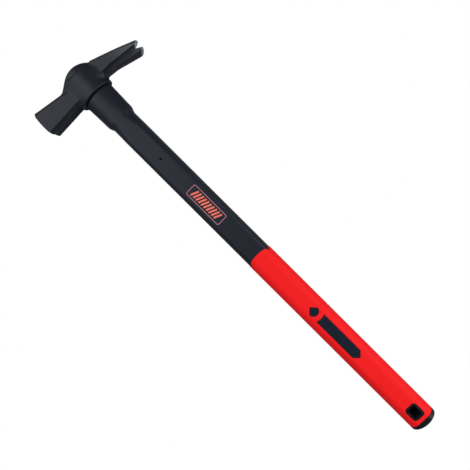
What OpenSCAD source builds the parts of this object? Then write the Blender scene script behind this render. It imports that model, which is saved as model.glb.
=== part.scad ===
// Long framing hammer lying on its side: steel head, glass-fibre core, plastic jacket and soft grip.
// X runs from the head to the butt, Y from the striking face to the claw, Z up through the cheeks.

/* [Overall] */
// Length from the top of the eye to the end of the butt cap
overall_l = 600; // [560:1:640]

/* [Poll] */
// Distance from the handle's axis to the striking face
poll_reach = 73.5; // [60:0.5:85]
// Height of the poll at the striking face
face_h = 34.8; // [30:0.1:37]
// Width of the poll at the striking face
face_w = 25; // [21:0.5:29]
// Bevel round the striking face
face_bevel = 2; // [0.6:0.1:3]
// Underside of the poll, below the top of the eye
poll_drop = 34.2; // [31:0.1:36]
// Height of the poll where it meets the eye
poll_neck_h = 26.1; // [22:0.1:28]
// Width of the poll where it meets the eye
poll_neck_w = 25; // [21:0.5:28]
// Chamfer along the four edges of the poll
poll_chamfer = 4; // [2.5:0.1:5]
// Fillet where the top and the underside of the poll run into the eye
poll_fillet = 7; // [4:0.5:9]
// Fillet where the sides of the poll and claw swell into the cheeks
cheek_fillet = 20; // [14:0.5:24]

/* [Eye] */
// Length of the eye barrel along the handle
eye_l = 39; // [38:0.1:46]
// Size of the eye barrel from poll to claw
eye_d = 46; // [43:0.5:50]
// Width of the eye barrel across the cheeks
eye_w = 36; // [33:0.5:39]
// Radius of the barrel's rounded front and back
eye_end_r = 14; // [10:0.5:15]
// Radius of the crowned top of the eye
eye_crown_r = 42; // [36:1:70]
// Wall of the eye in front of and behind the hole
eye_wall = 8; // [6.5:0.1:9]
// Wall of the eye at the cheeks
eye_cheek = 6.5; // [5.5:0.1:7]
// Flare of the hole on each side at the top of the eye
eye_flare = 1.6; // [0.8:0.1:2]
// Length of the straight lower part of the hole
eye_straight_l = 20; // [14:0.5:24]

/* [Claw] */
// Distance from the handle's axis to the tips of the claw
claw_reach = 79.5; // [70:0.5:90]
// Top of the claw where it leaves the eye, below the top of the eye
claw_root_drop = 6.4; // [5:0.1:8]
// Height of the claw where it leaves the eye
claw_root_h = 21.2; // [18:0.1:23]
// Width of the claw where it leaves the eye
claw_root_w = 23; // [19:0.5:27]
// Sharp edge of the tips, below the top of the eye
claw_tip_drop = 33.6; // [28:0.1:37]
// Height of the tips before they are ground
claw_tip_h = 8.2; // [6.5:0.1:9.5]
// Width across the tips
claw_tip_w = 40; // [38:0.5:46]
// Chamfer along the edges of the claw
claw_chamfer = 2.6; // [1.5:0.1:3]
// Length of the ground bevel under the tips
tip_bevel_l = 6; // [4:0.5:9]
// Flat left at the sharp edge of the tips
tip_edge = 0.8; // [0.5:0.1:1.2]
// Radius of the outer corners of the tips
tip_r = 8; // [4:0.5:10]
// Fillet where the underside of the claw meets the eye
claw_fillet = 8; // [5:0.5:12]
// Mouth of the nail slot between the tips
slot_w = 19.5; // [14:0.5:21]
// Length of the nail slot
slot_l = 33.5; // [28:0.5:38]
// Radius at the closed end of the nail slot
slot_end_r = 1.2; // [0.8:0.1:2]
// Width across the bevels under the nail slot, at the tips
slot_bevel_w = 33; // [28:0.5:34]
// Length of the bevels under the nail slot
slot_bevel_l = 41; // [38:0.5:46]
// Slope of the bevels under the nail slot, in degrees
slot_bevel_a = 31; // [24:1:36]

/* [Core] */
// Size of the glass-fibre core from poll to claw
core_d = 22; // [19:0.5:23]
// Thickness of the glass-fibre core
core_t = 16; // [13:0.5:17]
// Resin and core below the top of the eye
resin_drop = 4.5; // [3.5:0.1:7]
// End of the core before the lanyard hole
core_gap = 18; // [8:1:40]

/* [Shaft] */
// Size of the neck just below the head
neck_d = 40.4; // [37.5:0.1:42]
// Thickness of the neck just below the head
neck_t = 31; // [28:0.1:33]
// Taper of the neck on each side
neck_taper = 1.1; // [0.3:0.1:1.4]
// Length of the neck
neck_l = 36.7; // [28:0.1:44]
// Length of the shoulder from the neck down to the shaft
shoulder_l = 9.5; // [6:0.5:14]
// Depth of the jacket's spigot in the eye
spigot_l = 4; // [2:0.5:7]
// Play of the spigot in the eye
spigot_gap = 0.1; // [0.05:0.05:0.3]
// Size of the shaft from poll to claw
shaft_d = 32.5; // [31:0.1:33.4]
// Thickness of the shaft
shaft_t = 25; // [23.5:0.1:26.5]
// Corner radius of the shaft
shaft_r = 7.9; // [6.5:0.1:11]
// Diameter of the mould-pin holes in the cheeks of the shaft
pin_hole_d = 3; // [2:0.1:4.5]
// Mould-pin holes below the shoulder
pin_hole_down = 64; // [20:1:150]

/* [Grip] */
// Length of the grip along its cheeks
grip_l = 279.3; // [250:0.1:310]
// Size of the grip from poll to claw
grip_d = 34; // [33.4:0.1:36]
// Thickness of the grip
grip_t = 27; // [26.6:0.1:29]
// Corner radius of the grip
grip_r = 11; // [9:0.1:12.5]
// Wall of the soft grip over the jacket
grip_wall = 3.1; // [2.2:0.1:3.4]
// Rise of the arched upper edge of the grip
grip_arch = 3.6; // [2:0.1:6]

/* [Inlays] */
// Width of the inlays
inlay_w = 13.1; // [9:0.1:14]
// Length of the straight part of the arrow inlay
arrow_l = 60.9; // [45:0.1:75]
// Hollow in the tail of the arrow inlay
arrow_dip = 1.4; // [0.8:0.1:2]
// Space between the drop inlay and the arrow inlay
drop_space = 4.8; // [3:0.1:10]
// Tip of the arrow inlay before the middle of the lanyard hole
arrow_back = 91.1; // [70:0.1:110]

/* [Butt] */
// Length of the butt cap
cap_l = 10.2; // [9:0.1:16]
// Radius of the domed end of the cap
butt_r = 30; // [27:0.5:45]
// Wall between the jacket's tenon and the end of the cap
cap_wall = 4; // [3:0.1:6]
// Size of the jacket's tenon from poll to claw
tenon_d = 18; // [14:0.5:20]
// Thickness of the jacket's tenon
tenon_t = 11; // [8:0.5:12]
// Corner radius of the jacket's tenon
tenon_r = 3; // [2:0.1:3.8]
// Play of the cap on the tenon
tenon_gap = 0.1; // [0.05:0.05:0.3]
// Middle of the lanyard hole before the cap
hole_back = 14.5; // [12.5:0.1:24]
// Length of the lanyard bush along the handle
bush_l = 19.4; // [15:0.1:21]
// Width of the lanyard bush
bush_d = 16.2; // [12:0.1:17.5]
// Corner radius of the lanyard bush
bush_r = 4.4; // [3.8:0.1:5.5]
// Wall of the lanyard bush
bush_wall = 3; // [1.6:0.1:3.4]

/* [Hidden] */
$fn = 64;

// Overreach of cutting tools past the faces that they open
over = 1;
cap_x = overall_l - cap_l;
grip_x = cap_x - grip_l;
hole_x = cap_x - hole_back;
core_end = hole_x - bush_l / 2 - core_gap;
shoulder_x = eye_l + neck_l;
shaft_x = shoulder_x + shoulder_l;
tenon_x = overall_l - cap_wall;
tip_x = hole_x - arrow_back;
arrow_x = tip_x - inlay_w / 2 - arrow_l;
drop_x = arrow_x - drop_space - inlay_w / 2;
grip_arch_r = (pow(grip_d / 2, 2) + pow(grip_arch, 2)) / (2 * grip_arch);
hole_d = eye_d - 2 * eye_wall;
hole_w = eye_w - 2 * eye_cheek;
under_d = grip_d - 2 * grip_wall;
under_t = grip_t - 2 * grip_wall;
under_r = grip_r - grip_wall;
face_top = poll_drop - face_h;
neck_top = poll_drop - poll_neck_h;
fillet_y = eye_d / 2 + poll_fillet;
claw_y = eye_d / 2;
barrel_r = oval_side_r(eye_d, eye_w, eye_end_r);
tip_y = claw_reach - tip_r;
tip_z = claw_tip_w / 2 - tip_r;
// Angle at which the sides of the claw spread, to touch the round corners of the tips
claw_rise = [tip_y - claw_y, tip_z - claw_root_w / 2];
claw_side = atan2(claw_rise[1], claw_rise[0]) + asin(tip_r / norm(claw_rise));
// Stations along the fillets of the poll and of the claw
bar_steps = 12;
half_z = max(eye_w, claw_tip_w) / 2;

// Colours of the pieces
steel_black = "#37383e";
jacket_black = "#32343a";
grip_red = "#ec2024";
inlay_black = "#141e28";
cap_black = "#26282e";
core_cream = "#d8cfa8";
resin_amber = "#5a4a30";

// Sets the hammer down with the middle of its footprint at the origin
module laid() {
  translate([-(min(0, face_top) + overall_l) / 2, (poll_reach - claw_reach) / 2, half_z]) children();
}

// Prism along the handle of an outline given in Y and Z
module along_x(x0, x1) {
  translate([x0, 0, 0]) rotate([90, 0, 90]) linear_extrude(x1 - x0) children();
}

// Rectangle with round corners
module round_rect(w, t, r) {
  square([w - 2 * r, t], center = true);
  square([w, t - 2 * r], center = true);
  for (a = [-1, 1], b = [-1, 1])
    translate([a * (w / 2 - r), b * (t / 2 - r)]) circle(r);
}

// Strip with two half-round ends
module stadium(w, t) {
  square([w - t, t], center = true);
  for (a = [-1, 1])
    translate([a * (w - t) / 2, 0]) circle(d = t);
}

// Radius of the long sides of an oval with end radius r
function oval_side_r(w, t, r) = (pow(w / 2 - r, 2) + pow(t / 2, 2) - r * r) / (t - 2 * r);

// Oval of four tangent arcs
module oval(w, t, r) {
  big = oval_side_r(w, t, r);
  meet = (w / 2 - r) * big / (big - r);
  intersection() {
    translate([0, t / 2 - big]) circle(big);
    translate([0, big - t / 2]) circle(big);
    square([2 * meet, t], center = true);
  }
  for (a = [-1, 1])
    translate([a * (w / 2 - r), 0]) circle(r);
}

// Eight-sided outline of a forged bar at one station along Y
function bar_ring(y, top, bottom, half, c) = [
  [top, y, half - c], [top + c, y, half], [bottom - c, y, half], [bottom, y, half - c],
  [bottom, y, c - half], [bottom - c, y, -half], [top + c, y, -half], [top, y, c - half]
];

// Solid through a row of outlines that all have the same number of points
module loft(rings) {
  n = len(rings[0]);
  last = len(rings) - 1;
  sides = [
    for (i = [0 : last - 1], j = [0 : n - 1])
      let (a = i * n + j, b = i * n + (j + 1) % n, c = b + n, d = a + n)
        each [[a, d, c], [a, c, b]]
  ];
  polyhedron(
    [for (r = rings) each r],
    concat([[for (j = [0 : n - 1]) j]], sides, [[for (j = [n - 1 : -1 : 0]) last * n + j]])
  );
}

// Growth of a section at distance d along a fillet of radius r, up to a slope of sixty degrees
function fillet_rise(d, r) = r - sqrt(r * r - pow(min(d, r * sin(60)), 2));

// Distance from the handle's axis at which the cheek fillet leaves a bar of half width h
function cheek_start(h) =
  sqrt(pow(barrel_r + cheek_fillet, 2) - pow(h + cheek_fillet + barrel_r - eye_w / 2, 2));

// Distance from the handle's axis at which that fillet runs out on the barrel
function cheek_end(h) = cheek_start(h) * barrel_r / (barrel_r + cheek_fillet);

// Growth of the half width h of a bar at distance y from the handle's axis
function cheek_rise(y, h) = fillet_rise(max(0, cheek_start(h) - max(y, cheek_end(h))), cheek_fillet);

module poll_bar() {
  half = poll_neck_w / 2;
  function swell(y) =
    let (rise = fillet_rise(fillet_y - y, poll_fillet), left = max(0.1, 1 - (fillet_y - y) / poll_fillet))
      bar_ring(-y, neck_top - rise, poll_drop + rise, half + cheek_rise(y, half), poll_chamfer * left);
  step = (fillet_y - cheek_end(half)) / bar_steps;
  loft(concat(
    [bar_ring(-poll_reach, face_top + face_bevel, poll_drop - face_bevel,
              face_w / 2 - face_bevel, poll_chamfer)],
    [bar_ring(face_bevel - poll_reach, face_top, poll_drop, face_w / 2, poll_chamfer)],
    [for (i = [0 : bar_steps]) swell(fillet_y - i * step)],
    [swell(0)]
  ));
}

// Top and underside of the claw at distance y from the handle's axis
function claw_part(y) = max(0, y - claw_y) / (claw_reach - claw_y);
function claw_top(y) = claw_root_drop + claw_part(y) * (claw_tip_drop - claw_root_drop);
function claw_bottom(y) = claw_top(y) + claw_root_h + claw_part(y) * (claw_tip_h - claw_root_h);

module claw_bar() {
  half = claw_root_w / 2;
  fillet_end = claw_y + claw_fillet;
  function spread(y) = half + max(0, y - claw_y) * tan(claw_side);
  function taper(y) =
    let (rise = fillet_rise(max(0, fillet_end - y), claw_fillet))
      bar_ring(y, claw_top(y), claw_bottom(y) + rise, spread(y) + cheek_rise(y, half), claw_chamfer);
  step = (fillet_end - cheek_end(half)) / bar_steps;
  loft(concat(
    [taper(0)],
    [for (i = [0 : bar_steps]) taper(cheek_end(half) + i * step)],
    [taper(claw_reach - tip_bevel_l)],
    [bar_ring(claw_reach, claw_tip_drop, claw_tip_drop + tip_edge, spread(claw_reach), tip_edge / 4)]
  ));
}

// Cuts the outer corners of the tips round
module tip_corners() {
  along_x(0, claw_tip_drop + claw_tip_h + over)
    for (a = [-1, 1])
      translate([tip_y, a * tip_z]) difference() {
        for (turn = [0, claw_side])
          rotate(a > 0 ? turn : -90 - turn) square(2 * tip_r);
        circle(tip_r);
      }
}

module eye_barrel() {
  intersection() {
    along_x(0, eye_l) oval(eye_d, eye_w, eye_end_r);
    union() {
      translate([eye_crown_r, 0, 0]) cylinder(r = eye_crown_r, h = eye_w + 2 * over, center = true);
      translate([eye_crown_r, -eye_d, -eye_w]) cube([eye_l, 2 * eye_d, 2 * eye_w]);
    }
  }
}

// Hole of the eye: straight at the bottom, flared towards the top
module eye_hole() {
  along_x(eye_l - eye_straight_l, eye_l + over) stadium(hole_d, hole_w);
  hull() {
    along_x(eye_l - eye_straight_l, eye_l - eye_straight_l + over) stadium(hole_d, hole_w, $fn = 32);
    along_x(-over, 0) stadium(hole_d + 2 * eye_flare, hole_w + 2 * eye_flare, $fn = 32);
  }
}

module nail_slot() {
  end_y = claw_reach - slot_l + slot_end_r;
  spread = (slot_w / 2 - slot_end_r) / (slot_l - slot_end_r);
  far = slot_w / 2 + over * spread;
  along_x(0, claw_tip_drop + claw_tip_h + over) {
    polygon([
      [end_y, -slot_end_r], [claw_reach + over, -far], [claw_reach + over, far], [end_y, slot_end_r]
    ]);
    translate([end_y, 0]) circle(slot_end_r);
  }
}

// Groove that bevels the underside of the claw towards the slot
module slot_bevels() {
  function groove(y, half) = let (x = claw_bottom(y), side = half + over / tan(slot_bevel_a))
    [[x - half * tan(slot_bevel_a), y, 0], [x + over, y, side], [x + over, y, -side]];
  start = claw_reach - slot_bevel_l;
  far = slot_bevel_w / 2 * (1 + over / slot_bevel_l);
  loft([groove(start, 0), groove(claw_reach + over, far)]);
}

module hammer_head() {
  color(steel_black) laid() difference() {
    union() {
      poll_bar();
      eye_barrel();
      claw_bar();
    }
    eye_hole();
    nail_slot();
    slot_bevels();
    tip_corners();
  }
}

module core_prism(x0, x1) {
  along_x(x0, x1) stadium(core_d, core_t);
}

module core_rod() {
  color(core_cream) laid() core_prism(resin_drop, core_end);
}

module eye_resin() {
  color(resin_amber) laid() difference() {
    intersection() {
      eye_hole();
      translate([resin_drop, -eye_d / 2, -eye_w / 2]) cube([eye_l - spigot_l - resin_drop, eye_d, eye_w]);
    }
    core_prism(0, eye_l);
  }
}

module shaft_section() {
  round_rect(shaft_d, shaft_t, shaft_r);
}

module under_section() {
  round_rect(under_d, under_t, under_r);
}

module grip_section() {
  round_rect(grip_d, grip_t, grip_r);
}

// Upright cylinder whose edge arches over the cheeks at the top of the grip
module arch_cutter() {
  translate([grip_x + grip_arch_r, 0, 0]) cylinder(r = grip_arch_r, h = 2 * grip_t, center = true);
}

module bush_block(l, d, r) {
  translate([hole_x, 0, -grip_t]) linear_extrude(2 * grip_t) round_rect(l, d, r);
}

// Thick neck under the head with its shoulder down to the shaft
module neck() {
  low_d = neck_d - 2 * neck_taper;
  low_t = neck_t - 2 * neck_taper;
  hull() {
    along_x(eye_l, eye_l + over) oval(neck_d, neck_t, neck_t * 0.42, $fn = 48);
    along_x(shoulder_x - over, shoulder_x) oval(low_d, low_t, low_t * 0.42, $fn = 48);
  }
  hull() {
    along_x(shoulder_x - over, shoulder_x) oval(low_d, low_t, low_t * 0.42, $fn = 48);
    along_x(shaft_x, shaft_x + over) round_rect(shaft_d, shaft_t, shaft_r, $fn = 48);
  }
}

module shaft_jacket() {
  color(jacket_black) laid() difference() {
    union() {
      along_x(eye_l - spigot_l, eye_l + over)
        stadium(hole_d - 2 * spigot_gap, hole_w - 2 * spigot_gap);
      neck();
      difference() {
        along_x(shaft_x, grip_x + grip_arch) shaft_section();
        arch_cutter();
      }
      along_x(shaft_x, cap_x) under_section();
      along_x(cap_x - over, tenon_x) round_rect(tenon_d, tenon_t, tenon_r);
    }
    core_prism(0, core_end);
    translate([shaft_x + pin_hole_down, 0, 0]) cylinder(d = pin_hole_d, h = shaft_t + over, center = true);
    bush_block(bush_l, bush_d, bush_r);
  }
}

module drop_plan() {
  translate([drop_x, 0]) {
    polygon([[-inlay_w / 2, 0], [0, -inlay_w / 2], [0, inlay_w / 2]]);
    intersection() {
      circle(d = inlay_w);
      translate([0, -inlay_w / 2]) square([inlay_w / 2, inlay_w]);
    }
  }
}

module arrow_plan() {
  dip_r = (pow(inlay_w / 2, 2) + pow(arrow_dip, 2)) / (2 * arrow_dip);
  difference() {
    polygon([
      [arrow_x, -inlay_w / 2], [tip_x - inlay_w / 2, -inlay_w / 2], [tip_x, 0],
      [tip_x - inlay_w / 2, inlay_w / 2], [arrow_x, inlay_w / 2]
    ]);
    translate([arrow_x + arrow_dip - dip_r, 0]) circle(dip_r);
  }
}

module grip_sleeve() {
  color(grip_red) laid() difference() {
    intersection() {
      along_x(grip_x, cap_x) grip_section();
      union() {
        arch_cutter();
        translate([grip_x + grip_arch_r, -grip_d, -grip_t]) cube([grip_l, 2 * grip_d, 2 * grip_t]);
      }
    }
    along_x(grip_x - over, overall_l) under_section();
    bush_block(bush_l, bush_d, bush_r);
    linear_extrude(2 * grip_t, center = true) drop_plan();
    linear_extrude(2 * grip_t, center = true) arrow_plan();
  }
}

// Plate of the given plan that fills the grip's wall on the upper cheek
module inlay() {
  difference() {
    intersection() {
      linear_extrude(grip_t) children();
      along_x(grip_x, cap_x) grip_section();
    }
    along_x(grip_x - over, cap_x) under_section();
  }
}

module drop_inlay_front() {
  color(inlay_black) laid() inlay() drop_plan();
}

module drop_inlay_back() {
  color(inlay_black) laid() mirror([0, 0, 1]) inlay() drop_plan();
}

module arrow_inlay_front() {
  color(inlay_black) laid() inlay() arrow_plan();
}

module arrow_inlay_back() {
  color(inlay_black) laid() mirror([0, 0, 1]) inlay() arrow_plan();
}

module lanyard_bush() {
  color(cap_black) laid() difference() {
    intersection() {
      bush_block(bush_l, bush_d, bush_r);
      along_x(grip_x, cap_x) grip_section();
    }
    bush_block(bush_l - 2 * bush_wall, bush_d - 2 * bush_wall, bush_r - bush_wall);
  }
}

module butt_cap() {
  color(cap_black) laid() difference() {
    intersection() {
      along_x(cap_x, overall_l) grip_section();
      translate([overall_l - butt_r, 0, 0]) sphere(butt_r, $fn = 160);
    }
    along_x(cap_x - over, tenon_x) round_rect(tenon_d + 2 * tenon_gap, tenon_t + 2 * tenon_gap, tenon_r);
  }
}

hammer_head();
core_rod();
eye_resin();
shaft_jacket();
grip_sleeve();
drop_inlay_front();
drop_inlay_back();
arrow_inlay_front();
arrow_inlay_back();
lanyard_bush();
butt_cap();
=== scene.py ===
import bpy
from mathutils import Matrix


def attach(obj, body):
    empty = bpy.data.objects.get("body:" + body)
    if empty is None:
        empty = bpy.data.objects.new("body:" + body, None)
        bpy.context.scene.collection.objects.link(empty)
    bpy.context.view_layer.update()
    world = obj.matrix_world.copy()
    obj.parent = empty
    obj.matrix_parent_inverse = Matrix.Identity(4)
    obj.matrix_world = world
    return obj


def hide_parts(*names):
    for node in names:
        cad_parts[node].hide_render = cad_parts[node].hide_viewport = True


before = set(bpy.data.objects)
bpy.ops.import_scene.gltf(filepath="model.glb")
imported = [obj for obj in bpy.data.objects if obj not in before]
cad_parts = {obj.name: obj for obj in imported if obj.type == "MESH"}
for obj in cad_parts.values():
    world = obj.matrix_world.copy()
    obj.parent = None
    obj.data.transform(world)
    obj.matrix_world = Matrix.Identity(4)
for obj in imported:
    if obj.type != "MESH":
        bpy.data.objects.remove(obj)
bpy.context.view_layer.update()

import itertools
import math

import bmesh
import bpy
import numpy as np
from mathutils import Matrix, Vector
from mathutils.geometry import delaunay_2d_cdt

MM = 0.001
# Grains over which the two tones of a material drift
DRIFT_GRAINS = 12.5
# Top of the eye on the handle's axis, in the row's frame (mm). All sizes below are mm from there:
# x towards the butt, y from poll to claw, z out of the upper cheek
ORIGIN = np.array((-299.7, -3.0, 20.0))

# Head: poll and striking face, eye, claw, its ground tips, nail slot and slot bevel, hole of the eye
POLL_REACH, POLL_DROP, POLL_HALF, POLL_CHAMFER = 73.5, 34.2, 12.5, 4.0
POLL_TOP, POLL_TOP_Y, POLL_SLOPE, POLL_HOLLOW = 8.05, 30.0, 0.2098, 3.0
FACE_R, FACE_X, FACE_CURL, FACE_CURL_X, FACE_EDGE_R = 120.0, 22.0, 0.014, 25.0, 1.6
POLL_START, CLAW_START, ARM_EDGE_R = 5.0, 8.0, 0.5
EYE_L, EYE_D, EYE_W, EYE_END_R, EYE_SIDE_R, CROWN_R = 39.0, 46.0, 36.0, 14.0, 26.125, 42.0
CROWN_EDGE_R, FOOT_EDGE_R, LIP, LIP_UNDER_POLL = 2.0, 1.0, 0.6, 0.8
CLAW_Y, CLAW_REACH, CLAW_ROOT, CLAW_TIP = 23.0, 79.5, (6.4, 27.6), (33.6, 42.4)
ROOT_SWELL, CLAW_BOW, UNDER_BOW = 1.7, (-1.1, 1.7), 1.2
CLAW_HALF, CLAW_SPREAD, CLAW_CHAMFER, CHAMFER_GAIN = 11.5, math.radians(9.6), 2.6, 1.0
TIP_R, TIP_EDGE, TIP_BEVEL, TIP_EDGE_R = 9.0, 0.8, 8.0, 0.3
SLOT_HALF, SLOT_L, SLOT_END_R, SLOT_EDGE_R = 9.75, 33.5, 1.2, 0.6
BEVEL_HALF, BEVEL_L, BEVEL_SLOPE, BEVEL_EDGE_R = 18.0, 41.0, 0.78, 0.4
HOLE_D, HOLE_W, HOLE_FLARE, HOLE_STRAIGHT, HOLE_EDGE_R = 30.0, 23.0, 1.6, 19.0, 0.8
# Stretches over which the eye's lip, the claw's swollen root and its wider chamfers come or go
LIP_X, POLL_LIP_Y, SWELL_Y, CHAMFER_Y = (32, 38), (9, 20), (26, 41), (50, 79)
# Fillets of the arms at the eye, with what their radius gains at the top or the foot
POLL_FILLET, POLL_FILLET_TOP, POLL_FILLET_FOOT = 4.5, 9.9, 2.5
FILLET_TOP_X, FILLET_FOOT_X = (5, 16), (26, 34)
CLAW_FILLET, CLAW_FILLET_FOOT, CLAW_FILLET_X = 0.8, 6.4, (7, 17)
# Where the tips are ground bare, and how far the lacquer is worn on the outer sides of the tines
GROUND_Y, WEAR, WEAR_Y, WEAR_FACING = 66, 0.12, (36, 76), (0.6, 0.95)

# Handle: neck, shaft and its sleeve under the grip, mould-pin holes, grip, inlays, lanyard bush, butt, print
NECK_D, NECK_T, NECK_TAPER, NECK_THINNING, NECK_LIP = 40.4, 31.0, 1.1, 2.1, 2.2
SPIGOT_L, SPIGOT_GAP, RIM_GAP = 4.0, 0.1, 0.3
SHOULDER_X, SHAFT_X, CHEEK_X, SLEEVE_IN, SLEEVE_END_X = 75.7, 85.2, (62.0, 112.0), 6.0, 562.0
SHAFT_D, SHAFT_T, SHAFT_R, UNDER_D, UNDER_T, UNDER_R = 32.5, 25.0, 7.9, 27.8, 20.8, 7.9
PIN_X, PIN_D, PIN_DEPTH = 149.2, 3.0, 4.0
GRIP_X, CAP_X, GRIP = 310.5, 589.8, (34.0, 27.0, 11.0)
GRIP_WALL, ARCH_R, GRIP_EDGE_R = 3.1, 41.9, 0.7
INLAY_W, DROP_X, ARROW_X, ARROW_TIP, ARROW_DIP = 13.1, 405.5, 416.8, 484.2, 1.4
INLAY_GAP, INLAY_EDGE_R = 0.1, 0.45
HOLE_X, BUSH, BUSH_WALL, BUSH_EDGE_R, BORE_EDGE_R = 575.3, (19.4, 16.2, 4.4), 3.0, 0.5, 0.4
END_X, BUTT_R, BUTT_Y, CAP_GAP, CAP_EDGE_R, BUTT_EDGE_R = 599.95, 30.0, 0.8, 0.1, 0.45, 0.9
CAP_HOLLOW, CAP_SIDE = 3.0, 0.8
PANEL_X, PANEL_L, PANEL_D, BAR_COUNT, BAR_SLANT = 226.0, 54.0, 15.7, 10, math.radians(-24)


def add(tree, kind, settings=(), links=()):
    """Adds a node: settings go to its properties or sockets, links come into its sockets"""
    node = tree.nodes.new(kind)
    for key, value in dict(settings).items():
        if isinstance(key, str) and hasattr(node, key):
            setattr(node, key, value)
        else:
            node.inputs[key].default_value = value
    for key, source in dict(links).items():
        tree.links.new(source, node.inputs[key])
    return node


def colour(text):
    """Linear colour of an sRGB hex"""
    parts = [int(text[i:i + 2], 16) / 255 for i in (1, 3, 5)]
    return [c / 12.92 if c <= 0.04045 else ((c + 0.055) / 1.055) ** 2.4 for c in parts] + [1]


def surface(name, tones, rough, grain, relief, stretch=(1, 1, 1), **sockets):
    """Material of two slowly drifting tones, with a grain (mm) in its gloss and relief (mm)"""
    made = bpy.data.materials.new(name)
    made.use_nodes = True
    tree = made.node_tree
    shader = tree.nodes["Principled BSDF"]
    for key, value in sockets.items():
        shader.inputs[key.replace("_", " ")].default_value = value
    place = add(tree, "ShaderNodeTexCoord")
    laid = add(tree, "ShaderNodeMapping", {"Scale": stretch}, {"Vector": place.outputs["Object"]})
    fine_scale = 1 / (grain * MM)
    drift = add(tree, "ShaderNodeTexNoise", {"Scale": fine_scale / DRIFT_GRAINS, "Detail": 4},
                {"Vector": laid.outputs[0]})
    fine = add(tree, "ShaderNodeTexNoise", {"Scale": fine_scale, "Detail": 3}, {"Vector": laid.outputs[0]})
    tone = add(tree, "ShaderNodeMix", {"data_type": "RGBA", 6: colour(tones[0]), 7: colour(tones[1])},
               {0: drift.outputs[0]})
    gloss = add(tree, "ShaderNodeMapRange", {"To Min": rough[0], "To Max": rough[1]}, {0: fine.outputs[0]})
    bump = add(tree, "ShaderNodeBump", {"Distance": relief * MM}, {"Height": fine.outputs[0]})
    tree.links.new(tone.outputs[2], shader.inputs["Base Color"])
    tree.links.new(gloss.outputs[0], shader.inputs["Roughness"])
    tree.links.new(bump.outputs[0], shader.inputs["Normal"])
    return made


def piece(name, points, faces, material, node, crease):
    """Closed object from points in mm, sharp above a crease (degrees), in place of a node"""
    mesh = bpy.data.meshes.new(name)
    mesh.from_pydata(((np.asarray(points) + ORIGIN) * MM).tolist(), [], faces)
    work = bmesh.new()
    work.from_mesh(mesh)
    bmesh.ops.remove_doubles(work, verts=work.verts, dist=1e-7)
    bmesh.ops.recalc_face_normals(work, faces=work.faces)
    work.to_mesh(mesh)
    work.free()
    mesh.shade_smooth()
    mesh.set_sharp_from_angle(angle=math.radians(crease))
    mesh.materials.append(material)
    made = bpy.data.objects.new(name, mesh)
    bpy.context.scene.collection.objects.link(made)
    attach(made, "root")
    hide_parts(node)
    return made


def settled(made):
    """Lets the large faces of an object rule its shading, and keeps the result as a plain mesh"""
    made.modifiers.new("normals", "WEIGHTED_NORMAL").keep_sharp = True
    bpy.context.view_layer.update()
    mesh = bpy.data.meshes.new_from_object(made.evaluated_get(bpy.context.evaluated_depsgraph_get()))
    made.modifiers.clear()
    made.data, mesh.name = mesh, made.name
    return made


# Head: one forging, drawn as a field of distances so that its arms flow into the eye

def rounded(a, b, r):
    """Common part of two solids with its edge rounded"""
    return np.minimum(np.maximum(a, b), -r) + np.hypot(np.maximum(a + r, 0), np.maximum(b + r, 0))


def filleted(a, b, r):
    """Two solids joined by a hollow fillet"""
    return np.maximum(np.minimum(a, b), r) - np.hypot(np.maximum(r - a, 0), np.maximum(r - b, 0))


def ramp(x, low, high):
    """Smooth step from 0 to 1"""
    t = np.clip((x - low) / (high - low), 0, 1)
    return t * t * (3 - 2 * t)


def bar(top, bottom, side, chamfer, r):
    """Forged bar between top, bottom and sides, its four long edges cut by slightly hollow chamfers"""
    solid = np.maximum(np.maximum(top, bottom), side)
    hollow = np.hypot(chamfer, 2 * chamfer)
    for flat in (top, bottom):
        solid = rounded(solid, hollow - np.hypot(flat - chamfer, side - chamfer), r)
    return solid


def tip_plane(x, y):
    """Height over the ground bevel under the tips"""
    y0, y1 = CLAW_REACH, CLAW_REACH - TIP_BEVEL
    x0 = CLAW_TIP[0] + TIP_EDGE
    x1 = CLAW_ROOT[1] + (CLAW_TIP[1] - CLAW_ROOT[1]) * (y1 - CLAW_Y) / (CLAW_REACH - CLAW_Y)
    return ((x - x0) * (y0 - y1) + (y - y0) * (x1 - x0)) / math.hypot(y0 - y1, x1 - x0)


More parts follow.
